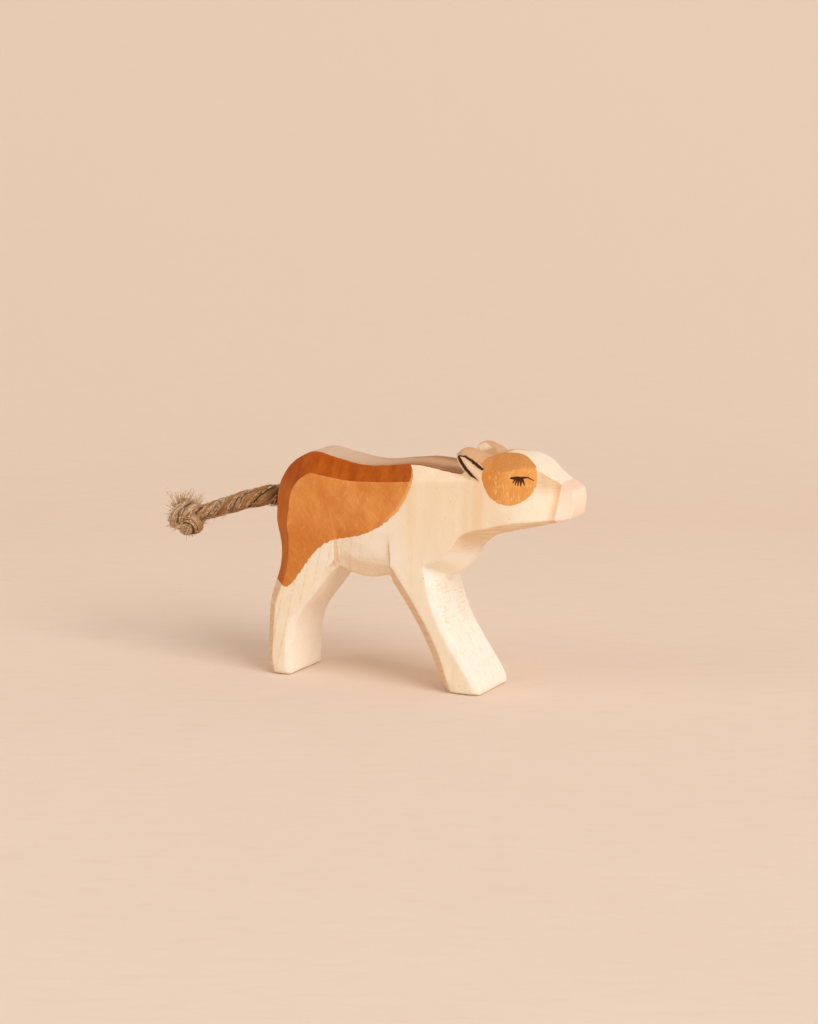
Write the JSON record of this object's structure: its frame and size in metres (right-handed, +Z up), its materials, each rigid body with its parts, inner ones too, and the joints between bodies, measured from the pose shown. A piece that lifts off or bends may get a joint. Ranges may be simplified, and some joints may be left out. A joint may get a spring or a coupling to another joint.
{
  "type": "wooden toy calf",
  "caption": "Standing toy calf carved from one block of pale wood, with stained patches and a short knotted rope tail that swings and lifts.",
  "frame": {"origin": "on the floor, under the middle of the wooden body's box, tail left out", "axes": "+X towards the muzzle, +Y towards the calf's left side, +Z up"},
  "size_m": [0.129, 0.021, 0.0681],
  "materials": {
    "pale_wood": "fine-sanded pale hardwood, thinly oiled, with translucent brown, ochre and pink stain",
    "laid_rope": "dull brown laid plant-fibre rope with loose fibres",
    "wood_glue": "dried yellowish glue"
  },
  "bodies": {
    "calf": {"body": "pale_wood", "tail_glue": "wood_glue", "tail_shank": "laid_rope"},
    "tail_root": {"tail_root": "laid_rope"},
    "tail": {"tail_rope": "laid_rope", "tail_knot": "laid_rope", "tail_tuft": "laid_rope"}
  },
  "joints": [
    {"name": "tail_swing", "type": "hinge", "parent": "calf", "child": "tail_root", "pos_m": [-0.04681, 0, 0.04951], "axis": [-0.1706, 0, 0.9853], "range_deg": [-40, 40], "stiffness_Nm_per_rad": 0.015},
    {"name": "tail_lift", "type": "hinge", "parent": "tail_root", "child": "tail", "pos_m": [-0.05388, 0, 0.04817], "axis": [0, 1, 0], "range_deg": [-40, 40], "stiffness_Nm_per_rad": 0.015}
  ]
}
